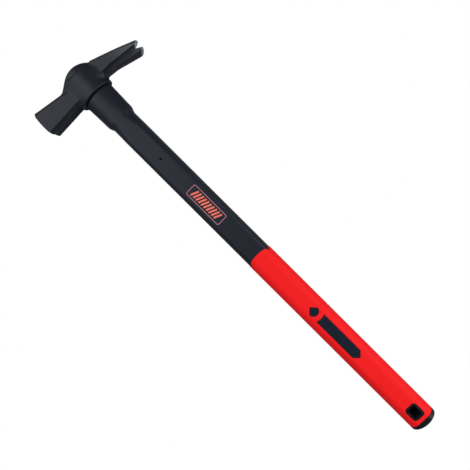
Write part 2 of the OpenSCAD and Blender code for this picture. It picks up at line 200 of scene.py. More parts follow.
def head_field(p):
    """Distance to the head's skin, negative inside"""
    x, y, z = p[..., 0], p[..., 1], np.abs(p[..., 2])
    u = -y

    # Poll: hollow along its underside, its face slightly crowned and curled back at the lower edge
    top = (POLL_TOP - POLL_SLOPE * (u - POLL_TOP_Y) - x) / math.hypot(1, POLL_SLOPE)
    hollow = POLL_HOLLOW * (1 - np.minimum(z / (POLL_HALF - POLL_CHAMFER), 1) ** 2)
    poll = bar(top, x - POLL_DROP + hollow, z - POLL_HALF, POLL_CHAMFER, ARM_EDGE_R)
    face = np.sqrt((u - POLL_REACH + FACE_R) ** 2 + (x - FACE_X) ** 2 + z ** 2) - FACE_R
    face = face + FACE_CURL * np.maximum(x - FACE_CURL_X, 0) ** 2
    poll = np.maximum(rounded(poll, face, FACE_EDGE_R), POLL_START - u)

    # Eye: a barrel under a crown, with a low lip round its foot
    wide = EYE_D / 2 - EYE_END_R
    deep = EYE_SIDE_R - EYE_W / 2
    oval = np.where(np.abs(y) * deep > (z + deep) * wide,
                    np.hypot(np.abs(y) - wide, z) - EYE_END_R,
                    np.hypot(y, z + deep) - EYE_SIDE_R)
    crown = np.hypot(np.minimum(x - CROWN_R, 0), y) - CROWN_R
    lip = (LIP + LIP_UNDER_POLL * ramp(u, *POLL_LIP_Y)) * ramp(x, *LIP_X)
    eye = rounded(rounded(oval - lip, crown, CROWN_EDGE_R), x - EYE_L, FOOT_EDGE_R)

    # Claw: a bowed bar that spreads and thins to its tips, bevelled underneath beside the slot
    length = CLAW_REACH - CLAW_Y
    t = (y - CLAW_Y) / length
    drop = CLAW_TIP[0] - CLAW_ROOT[0]
    rise = CLAW_TIP[1] - CLAW_ROOT[1]
    out = np.maximum(t, 0)
    bow = CLAW_BOW[0] * out + CLAW_BOW[1] * out ** 2
    top = (CLAW_ROOT[0] + drop * out + bow - x) / math.hypot(1, drop / length)
    under = CLAW_ROOT[1] + rise * t - UNDER_BOW * np.maximum(t * (1 - t), 0)
    bottom = (x - under - ROOT_SWELL * (1 - ramp(y, *SWELL_Y))) / math.hypot(1, rise / length)
    side = (z - CLAW_HALF - (y - CLAW_Y) * math.tan(CLAW_SPREAD)) * math.cos(CLAW_SPREAD)
    claw = bar(top, bottom, side, CLAW_CHAMFER + CHAMFER_GAIN * ramp(y, *CHAMFER_Y), ARM_EDGE_R)
    claw = np.maximum(claw, rounded(side, y - CLAW_REACH, TIP_R))
    wide = BEVEL_HALF * (1 - (CLAW_REACH - y) / BEVEL_L)
    bevel = (x - under + BEVEL_SLOPE * (wide - z)) / math.hypot(1, BEVEL_SLOPE)
    claw = rounded(rounded(claw, bevel, BEVEL_EDGE_R), tip_plane(x, y), TIP_EDGE_R)
    claw = np.maximum(claw, CLAW_START - y)

    # Fillets: widest over the top of the poll, almost none over the top of the claw
    poll_fillet = (POLL_FILLET + POLL_FILLET_TOP * (1 - ramp(x, *FILLET_TOP_X))
                   + POLL_FILLET_FOOT * ramp(x, *FILLET_FOOT_X))
    claw_fillet = CLAW_FILLET + CLAW_FILLET_FOOT * ramp(x, *CLAW_FILLET_X)
    solid = filleted(filleted(eye, poll, poll_fillet), claw, claw_fillet)

    # Nail slot, and the eye's hole that flares to its top
    end = CLAW_REACH - SLOT_L + SLOT_END_R
    spread = (SLOT_HALF - SLOT_END_R) / (SLOT_L - SLOT_END_R)
    slot = np.where(y < end, np.hypot(y - end, z) - SLOT_END_R,
                    (z - SLOT_END_R - (y - end) * spread) / math.hypot(1, spread))
    flare = HOLE_FLARE * np.clip((HOLE_STRAIGHT - x) / HOLE_STRAIGHT, 0, 1)
    hole = np.hypot(np.maximum(np.abs(y) - (HOLE_D - HOLE_W) / 2, 0), z) - HOLE_W / 2 - flare
    return rounded(rounded(solid, -slot, SLOT_EDGE_R), -hole, HOLE_EDGE_R)


def skin(field, axes):
    """Closed mesh of a field's zero: one point in each cell that it crosses, settled on the surface"""
    grid = np.stack(np.meshgrid(*axes, indexing="ij"), -1)
    value = field(grid)
    cells = np.array(value.shape) - 1
    corners = list(itertools.product((0, 1), repeat=3))
    at = {c: tuple(slice(o, o + n) for o, n in zip(c, cells)) for c in corners}
    total, count = np.zeros((*cells, 3)), np.zeros(cells)
    for a, b in itertools.combinations(corners, 2):
        if sum(map(abs, np.subtract(a, b))) != 1:
            continue
        va, vb = value[at[a]], value[at[b]]
        crossed = (va < 0) != (vb < 0)
        share = np.where(crossed, va / np.where(crossed, va - vb, 1), 0)[..., None]
        total += np.where(crossed[..., None], grid[at[a]] * (1 - share) + grid[at[b]] * share, 0)
        count += crossed
    used = count > 0
    number = np.full(cells, -1)
    number[used] = np.arange(used.sum())
    points = total[used] / count[used][:, None]
    probe, most = 0.05, 0.2
    for _ in range(4):
        sides = [field(points + d) - field(points - d) for d in np.eye(3) * probe]
        slope = np.stack(sides, -1) / (2 * probe)
        move = field(points)[:, None] * slope / np.maximum((slope ** 2).sum(1, keepdims=True), 0.2)
        points = points - np.clip(move, -most, most)
    faces = []
    inside = value < 0
    for axis in range(3):
        one, two = [k for k in range(3) if k != axis]
        first = np.moveaxis(inside, axis, 0)
        crossing = np.argwhere(np.moveaxis(first[:-1] != first[1:], 0, axis))
        crossing = crossing[(crossing[:, one] > 0) & (crossing[:, two] > 0)]
        ring = []
        for da, db in ((0, 0), (1, 0), (1, 1), (0, 1)):
            cell = crossing.copy()
            cell[:, one] -= da
            cell[:, two] -= db
            ring.append(number[tuple(cell.T)])
        faces.append(np.stack(ring, 1))
    return points, np.concatenate(faces).tolist()


# Black lacquer over the skin that the forge leaves: deep satin with a slight orange peel
lacquer = surface("black_lacquer_on_forged_steel", ("#121419", "#191b20"), (0.40, 0.50), 1.6, 0.012,
                  Specular_IOR_Level=0.22)
tree = lacquer.node_tree
shader = tree.nodes["Principled BSDF"]
# Bare steel where the tips are ground: bright, with fine scratches along the grinding
scratch_width = 0.625
ground = add(tree, "ShaderNodeAttribute", {"attribute_name": "ground"})
place = add(tree, "ShaderNodeTexCoord")
laid = add(tree, "ShaderNodeMapping", {"Scale": (1, 0.1, 1)}, {"Vector": place.outputs["Object"]})
scratch = add(tree, "ShaderNodeTexNoise", {"Scale": 1 / (scratch_width * MM), "Detail": 4},
              {"Vector": laid.outputs[0]})
steel = add(tree, "ShaderNodeMix", {"data_type": "RGBA", 6: colour("#8f9194"), 7: colour("#b4b6b8")},
            {0: scratch.outputs[0]})
for socket, bare in (("Base Color", steel.outputs[2]), ("Metallic", 1.0), ("Roughness", 0.38)):
    kind = {"data_type": "RGBA"} if socket == "Base Color" else {}
    a, b, out = (6, 7, 2) if kind else (2, 3, 0)
    mix = add(tree, "ShaderNodeMix", kind, {0: ground.outputs["Fac"]})
    if shader.inputs[socket].is_linked:
        tree.links.new(shader.inputs[socket].links[0].from_socket, mix.inputs[a])
    else:
        mix.inputs[a].default_value = 0.0
    if isinstance(bare, float):
        mix.inputs[b].default_value = bare
    else:
        tree.links.new(bare, mix.inputs[b])
    tree.links.new(mix.outputs[out], shader.inputs[socket])

# Cells of the head's skin, finer at the thin edge of the tips
cell, tip_cell_x, tip_cell_y = 0.65, 0.36, 0.4
axes = [
    np.concatenate([np.arange(-2, 32, cell), np.arange(32, 37, tip_cell_x), np.arange(37, 43, cell)]),
    np.concatenate([np.arange(-74.4, 70, cell), np.arange(70, 80.6, tip_cell_y)]),
    np.arange(-21.1, 21.2, cell),
]
points, faces = skin(head_field, axes)
head = piece("forged_head", points, faces, lacquer, "hammer_head", 60)
place = np.array([v.co for v in head.data.vertices]) / MM - ORIGIN
# Bare within 0.3 mm of the plane that the tips are ground to, fading out at 0.7 mm
bare = np.clip((tip_plane(place[:, 0], place[:, 1]) + 0.5) / 0.4 + 0.5, 0, 1) * (place[:, 1] > GROUND_Y)
# The lacquer is worn thin on the outer sides of the tines
facing = np.abs([v.normal.z for v in head.data.vertices])
bare = np.maximum(bare, WEAR * ramp(place[:, 1], *WEAR_Y) * ramp(facing, *WEAR_FACING))
head.data.attributes.new("ground", "FLOAT", "POINT").data.foreach_set("value", bare.astype(np.float32))


# Shaft jacket: a section swept along the handle

# Black moulded plastic: satin, lightly grained by the mould
plastic = surface("moulded_satin_polypropylene", ("#101319", "#14181f"), (0.42, 0.52), 0.9, 0.01,
                  Specular_IOR_Level=0.22)


def grown_mesh(group, sizes):
    """Plain mesh that a Geometry Nodes tree makes from the given sizes"""
    holder = bpy.data.objects.new(group.name, bpy.data.meshes.new(group.name))
    bpy.context.scene.collection.objects.link(holder)
    tool = holder.modifiers.new("tree", "NODES")
    tool.node_group = group
    for key, size in sizes.items():
        tool[key] = size
    bpy.context.view_layer.update()
    mesh = bpy.data.meshes.new_from_object(holder.evaluated_get(bpy.context.evaluated_depsgraph_get()))
    bpy.data.objects.remove(holder)
    return mesh


def swept_jacket():
    """Geometry Nodes sweep: an oval neck that runs through a shoulder into a flat-cheeked shaft"""
    group = bpy.data.node_groups.new("swept_jacket", "GeometryNodeTree")
    group.interface.new_socket("Geometry", in_out="OUTPUT", socket_type="NodeSocketGeometry")
    sizes = {
        "Top": EYE_L - SPIGOT_L, "Rim": EYE_L + RIM_GAP, "Lip": NECK_LIP,
        "Shoulder": SHOULDER_X, "Shaft": SHAFT_X, "Cheek start": CHEEK_X[0], "Cheek end": CHEEK_X[1],
        "Grip": GRIP_X + SLEEVE_IN, "End": SLEEVE_END_X,
        "Spigot width": HOLE_D / 2 - SPIGOT_GAP, "Spigot thickness": HOLE_W / 2 - SPIGOT_GAP,
        "Neck width": NECK_D / 2, "Neck thickness": NECK_T / 2,
        "Taper": NECK_TAPER, "Thinning": NECK_THINNING,
        "Shaft width": SHAFT_D / 2, "Shaft thickness": SHAFT_T / 2, "Shaft corner": SHAFT_R,
        "Sleeve width": UNDER_D / 2, "Sleeve thickness": UNDER_T / 2, "Sleeve corner": UNDER_R,
        "Pin hole": PIN_D / 2, "Pin hole place": PIN_X, "Pin hole depth": PIN_DEPTH,
    }
    made = {}
    for key in sizes:
        made[key] = group.interface.new_socket(key, in_out="INPUT", socket_type="NodeSocketFloat").identifier
    given = add(group, "NodeGroupInput")
    value = {key: given.outputs[key] for key in sizes}
    rings, round_count = 560, 97
    grid = add(group, "GeometryNodeMeshGrid",
               {"Size X": 1.0, "Size Y": 1.0, "Vertices X": rings, "Vertices Y": round_count})
    spot = add(group, "GeometryNodeInputPosition")
    parts = add(group, "ShaderNodeSeparateXYZ", links={0: spot.outputs[0]})
    value["u"], value["v"] = parts.outputs[0], parts.outputs[1]
    edge = 0.5 - 0.5 / (rings - 1)
    # Each row makes a value from earlier ones: its name, what is done, and to what
    table = [
        # Station along the handle, with more rings at the neck; the first and last ring close on the axis
        ("run", "MULTIPLY_ADD", "u", 1 / (1 - 2 / (rings - 1)), 0.5),
        ("run", "MINIMUM", "run", 1.0), ("run", "MAXIMUM", "run", 0.0), ("run", "POWER", "run", 1.6),
        ("span", "SUBTRACT", "End", "Top"), ("x", "MULTIPLY_ADD", "run", "span", "Top"),
        ("off", "ABSOLUTE", "u"), ("open", "LESS_THAN", "off", edge),
        # Direction round the section, and the flats between its corners
        ("turn", "MULTIPLY_ADD", "v", 2 * math.pi, 0.0), ("cos", "COSINE", "turn"), ("sin", "SINE", "turn"),
        ("flat y", "MULTIPLY", "cos", 8.0), ("flat y", "MINIMUM", "flat y", 1.0),
        ("flat y", "MAXIMUM", "flat y", -1.0),
        ("flat z", "MULTIPLY", "sin", 8.0), ("flat z", "MINIMUM", "flat z", 1.0),
        ("flat z", "MAXIMUM", "flat z", -1.0),
        # How far the section has gone from the spigot to the neck, and along the neck
        ("below rim", "SUBTRACT", "x", "Rim"), ("necked", "GREATER_THAN", "below rim", 0.0),
        ("neck length", "SUBTRACT", "Shoulder", "Rim"), ("part", "DIVIDE", "below rim", "neck length"),
        ("part", "MINIMUM", "part", 1.0), ("part", "MAXIMUM", "part", 0.0),
        ("fall y", "MULTIPLY", "part", "Taper"), ("fall z", "MULTIPLY", "part", "Thinning"),
        # Quarter round of the neck's lip at the rim
        ("lip", "DIVIDE", "below rim", "Lip"), ("lip", "SUBTRACT", 1.0, "lip"),
        ("lip", "MAXIMUM", "lip", 0.0), ("lip", "MINIMUM", "lip", 1.0), ("lip", "MULTIPLY", "lip", "lip"),
        ("lip", "SUBTRACT", 1.0, "lip"), ("lip", "SQRT", "lip"), ("lip", "SUBTRACT", 1.0, "lip"),
        ("fall y", "MULTIPLY_ADD", "lip", "Lip", "fall y"),
        ("fall z", "MULTIPLY_ADD", "lip", "Lip", "fall z"),
        # How far it has gone to the shaft's width, to its flat cheeks and to the sleeve
        ("shafted", "SUBTRACT", "x", "Shoulder"), ("shaft length", "SUBTRACT", "Shaft", "Shoulder"),
        ("shafted", "DIVIDE", "shafted", "shaft length"), ("shafted", "SMOOTH", "shafted"),
        ("cheeked", "SUBTRACT", "x", "Cheek start"), ("cheek length", "SUBTRACT", "Cheek end", "Cheek start"),
        ("cheeked", "DIVIDE", "cheeked", "cheek length"), ("cheeked", "SMOOTH", "cheeked"),
        ("sleeved", "SUBTRACT", "x", "Grip"), ("sleeved", "GREATER_THAN", "sleeved", 0.0),
        ("neck y", "SUBTRACT", "Neck width", "fall y"), ("neck z", "SUBTRACT", "Neck thickness", "fall z"),
    ]
    # Half width, half thickness and corner radii there
    for key, spigot, neck, shaft, sleeve, gone in (
        ("a", "Spigot width", "neck y", "Shaft width", "Sleeve width", "shafted"),
        ("b", "Spigot thickness", "neck z", "Shaft thickness", "Sleeve thickness", "cheeked"),
        ("ry", "Spigot thickness", "neck y", "Shaft corner", "Sleeve corner", "cheeked"),
        ("rz", "Spigot thickness", "neck z", "Shaft corner", "Sleeve corner", "cheeked"),
    ):
        table += [(key, "MIX", spigot, neck, "necked"), (key, "MIX", key, shaft, gone),
                  (key, "MIX", key, sleeve, "sleeved")]
    # The point of the section
    for key, half, radius, wave, flat in (
        ("y", "a", "ry", "cos", "flat y"),
        ("z", "b", "rz", "sin", "flat z"),
    ):
        table += [("straight", "SUBTRACT", half, radius), ("straight", "MULTIPLY", "straight", flat),
                  (key, "MULTIPLY_ADD", radius, wave, "straight"), (key, "MULTIPLY", key, "open")]
    kinds = {"MIX": ("ShaderNodeMix", (2, 3, 0), {}),
             "SMOOTH": ("ShaderNodeMapRange", (0,), {"interpolation_type": "SMOOTHSTEP"})}
    for name, operation, *terms in table:
        kind, sockets, setting = kinds.get(operation, ("ShaderNodeMath", (0, 1, 2), {"operation": operation}))
        linked = {socket: value[term] for socket, term in zip(sockets, terms) if isinstance(term, str)}
        fixed = {socket: term for socket, term in zip(sockets, terms) if not isinstance(term, str)}
        value[name] = add(group, kind, {**setting, **fixed}, linked).outputs[0]
    where = add(group, "ShaderNodeCombineXYZ", links={0: value["x"], 1: value["y"], 2: value["z"]})
    laid = add(group, "GeometryNodeSetPosition", links={0: grid.outputs[0], "Position": where.outputs[0]})
    shut = add(group, "GeometryNodeMergeByDistance", {"Distance": 0.001}, {0: laid.outputs[0]})
    pin = add(group, "GeometryNodeMeshCylinder", {"Vertices": 32, "Depth": 1.0},
              {"Radius": value["Pin hole"]})
    cut = add(group, "GeometryNodeMeshBoolean", {"operation": "DIFFERENCE", "solver": "EXACT"},
              {0: shut.outputs[0]})
    for side in (1, -1):
        high = add(group, "ShaderNodeMath", {"operation": "MULTIPLY", 1: side}, {0: value["Shaft thickness"]})
        spot = add(group, "ShaderNodeCombineXYZ", links={0: value["Pin hole place"], 2: high.outputs[0]})
        twice = add(group, "ShaderNodeMath", {"operation": "MULTIPLY", 1: 2.0}, {0: value["Pin hole depth"]})
        tall = add(group, "ShaderNodeCombineXYZ", {0: 1.0, 1: 1.0}, {2: twice.outputs[0]})
        drill = add(group, "GeometryNodeTransform",
                    links={0: pin.outputs[0], "Translation": spot.outputs[0], "Scale": tall.outputs[0]})
        group.links.new(drill.outputs[0], cut.inputs[1])
    whole = add(group, "GeometryNodeRealizeInstances", links={0: cut.outputs[0]})
    coat = add(group, "GeometryNodeSetMaterial", {"Material": plastic}, {0: whole.outputs[0]})
    add(group, "NodeGroupOutput", links={0: coat.outputs[0]})

    mesh = grown_mesh(group, {made[key]: size for key, size in sizes.items()})
    points = np.array([v.co for v in mesh.vertices])
    return points, [list(f.vertices) for f in mesh.polygons]


points, faces = swept_jacket()
settled(piece("shaft_jacket_moulding", points, faces, plastic, "shaft_jacket", 40))


# Print on the upper cheek of the shaft: plain slanted bars in a thin frame

# Pad-printed inks: flat and matt, with the faint mottle of a pad print
frame_ink = surface("pad_printed_rose_ink", ("#a8707a", "#c08088"), (0.5, 0.6), 0.4, 0.003,
                    Specular_IOR_Level=0.2)
bar_ink = surface("pad_printed_orange_ink", ("#e0604c", "#f07a62"), (0.5, 0.6), 0.4, 0.003,
                  Specular_IOR_Level=0.2)


def print_panel():
    """Geometry Nodes print: a frame between two round-cornered loops, and a row of slanted bars"""
    group = bpy.data.node_groups.new("print_panel", "GeometryNodeTree")
    group.interface.new_socket("Geometry", in_out="OUTPUT", socket_type="NodeSocketGeometry")
    sizes = {"Length": PANEL_L, "Width": PANEL_D, "Corner": 2.2, "Line": 0.7, "Ink": 0.06,
             "Bar length": 10.8, "Bar width": 2.1, "Bar pitch": 4.3}
    made = {}
    for key in sizes:
        made[key] = group.interface.new_socket(key, in_out="INPUT", socket_type="NodeSocketFloat").identifier
    given = add(group, "NodeGroupInput").outputs
    both = add(group, "GeometryNodeJoinGeometry")
    for inset in (0.0, -1.0):
        size = {}
        for key in ("Length", "Width", "Corner"):
            share = inset if key == "Corner" else 2 * inset
            size[key] = add(group, "ShaderNodeMath", {"operation": "MULTIPLY_ADD", 1: share},
                            {0: given["Line"], 2: given[key]}).outputs[0]
        loop = add(group, "GeometryNodeCurvePrimitiveQuadrilateral",
                   links={"Width": size["Length"], "Height": size["Width"]})
        soft = add(group, "GeometryNodeFilletCurve", {"mode": "POLY", "Count": 8},
                   {0: loop.outputs[0], "Radius": size["Corner"]})
        group.links.new(soft.outputs[0], both.inputs[0])
    ring = add(group, "GeometryNodeFillCurve", links={0: both.outputs[0]})
    thick = add(group, "GeometryNodeExtrudeMesh", {"Individual": False},
                {0: ring.outputs[0], "Offset Scale": given["Ink"]})
    under = add(group, "GeometryNodeFlipFaces", links={0: ring.outputs[0]})
    shell = add(group, "GeometryNodeJoinGeometry")
    for part in (thick, under):
        group.links.new(part.outputs[0], shell.inputs[0])
    shut = add(group, "GeometryNodeMergeByDistance", {"Distance": 0.001}, {0: shell.outputs[0]})
    edge = add(group, "GeometryNodeSetMaterial", {"Material": frame_ink}, {0: shut.outputs[0]})

    step = add(group, "ShaderNodeCombineXYZ", links={0: given["Bar pitch"]})
    first = add(group, "ShaderNodeMath", {"operation": "MULTIPLY", 1: (1 - BAR_COUNT) / 2},
                {0: given["Bar pitch"]})
    lift = add(group, "ShaderNodeMath", {"operation": "MULTIPLY", 1: 0.5}, {0: given["Ink"]})
    start = add(group, "ShaderNodeCombineXYZ", links={0: first.outputs[0], 2: lift.outputs[0]})
    row = add(group, "GeometryNodeMeshLine", {"Count": BAR_COUNT},
              {"Start Location": start.outputs[0], "Offset": step.outputs[0]})
    shape = add(group, "ShaderNodeCombineXYZ",
                links={0: given["Bar width"], 1: given["Bar length"], 2: given["Ink"]})
    bar = add(group, "GeometryNodeMeshCube", links={"Size": shape.outputs[0]})
    bars = add(group, "GeometryNodeInstanceOnPoints", {"Rotation": (0, 0, BAR_SLANT)},
               {0: row.outputs[0], "Instance": bar.outputs[0]})
    real = add(group, "GeometryNodeRealizeInstances", links={0: bars.outputs[0]})
    inked = add(group, "GeometryNodeSetMaterial", {"Material": bar_ink}, {0: real.outputs[0]})
    whole = add(group, "GeometryNodeJoinGeometry")
    for part in (edge, inked):
        group.links.new(part.outputs[0], whole.inputs[0])
    add(group, "NodeGroupOutput", links={0: whole.outputs[0]})
    return grown_mesh(group, {made[key]: size for key, size in sizes.items()})


mesh = print_panel()
panel = bpy.data.objects.new("printed_panel", mesh)
bpy.context.scene.collection.objects.link(panel)
mesh.transform(Matrix.Translation((ORIGIN + (PANEL_X, 0, SHAFT_T / 2 - 0.01)) * MM) @ Matrix.Scale(MM, 4))
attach(panel, "root")


# Grip and inlays: drawn flat in (x, s), s being the way round the grip's section from the upper cheek

def half_way(size):
    """Half the way round a section with round corners"""
    return size[0] + size[1] - 4 * size[2] + math.pi * size[2]


def across(s, size):
    """Point and outward normal at s round a section with round corners"""
    d, t, r = size
    half = half_way(size)
    s = np.mod(s + half, 2 * half) - half
    way = np.abs(s)
    back = way > half / 2
    way = np.where(back, half - way, way)
    turn = np.clip((way - d / 2 + r) / r, 0, math.pi / 2)
    y = np.minimum(way, d / 2 - r) + r * np.sin(turn)
    z = t / 2 - r + r * np.cos(turn) - np.maximum(way - d / 2 + r - r * math.pi / 2, 0)
    side, cheek = np.where(s < 0, -1, 1), np.where(back, -1, 1)
    return np.stack([side * y, cheek * z], -1), np.stack([side * np.sin(turn), cheek * np.cos(turn)], -1)


def on_grip(flat, depth):
    """Points in the hammer's frame of flat points (x, s) at a depth under the grip's surface"""
    spot, out = across(flat[:, 1], GRIP)
    spot = spot - out * np.reshape(depth, (-1, 1))
    return np.column_stack([flat[:, 0], spot])


def unrolled(y):
    """Way round the section of a point at y on the upper cheek"""
    d, _, r = GRIP
    off = np.abs(y)
    turn = np.arcsin(np.clip((off - d / 2 + r) / r, 0, 1))
    return np.sign(y) * (np.minimum(off, d / 2 - r) + r * turn)


def grown(loop, by):
    """Closed outline moved outwards"""
    before, after = loop - np.roll(loop, 1, 0), np.roll(loop, -1, 0) - loop
    normals = []
    for edge in (before, after):
        edge = edge / np.linalg.norm(edge, axis=1, keepdims=True)
        normals.append(np.column_stack([edge[:, 1], -edge[:, 0]]))
    middle = normals[0] + normals[1]
    middle /= np.maximum((middle * normals[0]).sum(1, keepdims=True), 0.4)
    return loop + middle * by


def within(points, loop):
    """Which flat points lie inside a closed outline"""
    found = np.zeros(len(points), bool)
    for a, b in zip(loop, np.roll(loop, -1, 0)):
        crossed = (a[1] > points[:, 1]) != (b[1] > points[:, 1])
        rise = b[1] - a[1] if b[1] != a[1] else 1
        found ^= crossed & (points[:, 0] < a[0] + (points[:, 1] - a[1]) * (b[0] - a[0]) / rise)
    return found


def largest_patch(spots, faces, cuts):
    """Faces of the largest patch that the cut edges bound"""
    borders = [[frozenset(pair) for pair in zip(f, (*f[1:], f[0]))] for f in faces]
    beside = {}
    for k, border in enumerate(borders):
        for pair in border:
            beside.setdefault(pair, []).append(k)
    seen, largest = set(), (0, [])
    for first in range(len(faces)):
        if first in seen:
            continue
        seen.add(first)
        patch = [first]
        for k in patch:
            near = {other for pair in borders[k] if pair not in cuts for other in beside[pair]} - seen
            seen |= near
            patch += sorted(near)
        a, b, c = np.moveaxis(spots[[list(faces[k][:3]) for k in patch]], 1, 0)
        area = np.abs(np.cross(b - a, c - a)).sum()
        largest = max(largest, (area, patch), key=lambda found: found[0])
    return [list(faces[k]) for k in largest[1]]


def wrapped(rims, fill, wall, edge):
    """Closed skin of a sleeve or plate in the grip's surface.

    rims: rows of functions that give a rim's flat points at a distance from its edge, and whether it closes
    fill: flat points between the rims
    """
    flat, links, rows = [], [], []
    for rim, closed in rims:
        row = rim(edge)
        start = sum(map(len, flat))
        numbers = list(range(start, start + len(row)))
        links += list(zip(numbers, numbers[1:] + numbers[:1] if closed else numbers[1:]))
        flat.append(row)
        rows.append(numbers)
    flat.append(fill)
    flat = np.concatenate(flat)
    spots, _, faces, origin, _, _ = delaunay_2d_cdt([Vector(p) for p in flat], links, [], 0, 1e-5)
    spots = np.array([tuple(p) for p in spots])
    number = {i: k for k, old in enumerate(origin) for i in old}
    faces = largest_patch(spots, faces, {frozenset((number[a], number[b])) for a, b in links})
    count = len(spots)
    points = [on_grip(spots, 0.0), on_grip(spots, wall)]
    faces += [[i + count for i in reversed(f)] for f in faces]
    total = 2 * count
    for (rim, closed), row in zip(rims, rows):
        last = [number[i] for i in row]
        steps = [(edge * (1 - math.sin(a)), edge * (1 - math.cos(a))) for a in (0.4, 0.8, 1.17, math.pi / 2)]
        for away, depth in steps + [(0.0, wall)]:
            points.append(on_grip(rim(away), depth))
            now = list(range(total, total + len(row)))
            total += len(row)
            for i in range(len(row) if closed else len(row) - 1):
                j = (i + 1) % len(row)
                faces.append([last[i], last[j], now[j], now[i]])
            last = now
        inner = [number[i] + count for i in row]
        for i in range(len(row) if closed else len(row) - 1):
            j = (i + 1) % len(row)
            faces.append([last[i], last[j], inner[j], inner[i]])
    return np.concatenate(points), faces


def outline(corners, step=0.9):
    """Closed outline through corners, with points along it"""
    made = []
    for a, b in zip(corners, np.roll(corners, -1, 0)):
        count = max(1, round(float(np.linalg.norm(b - a)) / step))
        made += [a + (b - a) * i / count for i in range(count)]
    return np.array(made)


def arc(centre, r, a0, a1, count):
    """Points along an arc between two angles (degrees)"""
    turn = np.radians(np.linspace(a0, a1, count))
    return np.column_stack([centre[0] + r * np.cos(turn), centre[1] + r * np.sin(turn)])


half_w = INLAY_W / 2
dip_r = (half_w ** 2 + ARROW_DIP ** 2) / (2 * ARROW_DIP)
dip = math.degrees(math.asin(half_w / dip_r))
drop_plan = outline(np.concatenate([[(DROP_X - half_w, 0)], arc((DROP_X, 0), half_w, -90, 90, 22)]))
arrow_plan = outline(np.concatenate([
    arc((ARROW_X + ARROW_DIP - dip_r, 0), dip_r, dip, -dip, 15),
    [(ARROW_TIP - half_w, -half_w), (ARROW_TIP, 0), (ARROW_TIP - half_w, half_w)]]))
bl, bd, br = BUSH
bush_plan = outline(np.concatenate([
    arc((HOLE_X + i * (bl / 2 - br), j * (bd / 2 - br)), br, a, a + 90, 9)
    for i, j, a in ((1, 1, 0), (-1, 1, 90), (-1, -1, 180), (1, -1, 270))]))


def on_cheek(plan, back):
    """Outline in the grip's flat drawing of a plan seen on the upper or the lower cheek"""
    if back:
        return np.column_stack([plan[:, 0], half_way(GRIP) - unrolled(plan[:, 1])])[::-1]
    return np.column_stack([plan[:, 0], unrolled(plan[:, 1])])


# Red soft plastic: even matt colour, finely sparked by the mould, that glows a little towards its edges
rubber = surface("soft_red_elastomer", ("#e91617", "#ed1818"), (0.62, 0.72), 0.8, 0.012,
                 Specular_IOR_Level=0.12, Sheen_Weight=0.4, Sheen_Roughness=0.4, Sheen_Tint=colour("#ff3030"))
# Black soft plastic of the inlays: the same mould finish, darker than the shaft
inlay_rubber = surface("soft_black_elastomer", ("#0f151d", "#141c26"), (0.55, 0.65), 0.8, 0.012,
                       Specular_IOR_Level=0.12)
# Hard black plastic of the cap: a little glossier
nylon = surface("moulded_black_nylon", ("#090a0d", "#0d0f13"), (0.36, 0.46), 0.7, 0.008,
                Specular_IOR_Level=0.2)
# Through-coloured plastic of the bush: deep black and matt, so the hole reads as one dark patch
acetal = surface("moulded_matt_acetal", ("#101114", "#141518"), (0.6, 0.7), 0.7, 0.008,
                 Specular_IOR_Level=0.08)

windows = [on_cheek(plan, back) for plan in (drop_plan, arrow_plan, bush_plan) for back in (False, True)]
# Stops round the section, close together at its corners; the flat drawing is cut along one side
way = half_way(GRIP)
seam = -way / 2
flat_half, corner = GRIP[0] / 2 - GRIP[2], GRIP[2] * math.pi / 2
stops = []
for middle in (0, way):
    stops += [middle + v for v in np.linspace(-flat_half, flat_half, 7)]
    stops += [middle + i * (flat_half + v) for i in (-1, 1) for v in np.linspace(0, corner, 17)[1:]]
stops = [v for v in stops if seam - 1e-6 < v < seam + 2 * way + 1e-6]
stops = np.unique(np.round(stops + [seam, seam + 2 * way], 5))


def arched(s):
    """How far the grip's arched upper end falls back at s"""
    return ARCH_R - np.sqrt(ARCH_R ** 2 - across(s, GRIP)[0][:, 0] ** 2)


def top_rim(away):
    """Arched upper end of the grip, moved in"""
    return np.column_stack([GRIP_X + arched(stops) + away, stops])


def end_rim(away):
    """Straight end of the grip at the cap, moved in"""
    return np.column_stack([CAP_X - away + 0 * stops, stops])


# Points between the rims, in lines that follow the arch and keep clear of every edge
rim_clear, window_clear = GRIP_EDGE_R + 0.3, GRIP_EDGE_R + 0.5
lines = [np.column_stack([x + arched(stops), stops]) for x in np.linspace(GRIP_X, CAP_X, 94)[1:-1]]
lines = np.concatenate(lines)
clear = lines[:, 0] > GRIP_X + arched(lines[:, 1]) + rim_clear
clear &= lines[:, 0] < CAP_X - rim_clear
for window in windows:
    clear &= ~within(lines, grown(window, window_clear))
rims = [(top_rim, False), (end_rim, False)]
rims += [(lambda away, w=window: grown(w, away), True) for window in windows]
points, faces = wrapped(rims, lines[clear], GRIP_WALL, GRIP_EDGE_R)
settled(piece("grip_moulding", points, faces, rubber, "grip_sleeve", 50))

for shape, plan in (("drop", drop_plan), ("arrow", arrow_plan)):
    for side in ("front", "back"):
        loop = grown(on_cheek(plan, side == "back"), -INLAY_GAP)
        low, high = loop.min(0), loop.max(0)
        along, over = np.arange(low[0], high[0], 1.6), np.arange(low[1] + 0.4, high[1], 1.2)
        spots = np.stack(np.meshgrid(along, over), -1).reshape(-1, 2)
        spots = spots[within(spots, grown(loop, -2 * INLAY_EDGE_R))]
        rims = [(lambda away: grown(loop, -away), True)]
        points, faces = wrapped(rims, spots, GRIP_WALL, INLAY_EDGE_R)
        settled(piece(f"{shape}_insert_{side}", points, faces, inlay_rubber, f"{shape}_inlay_{side}", 50))


# Lanyard bush and butt cap

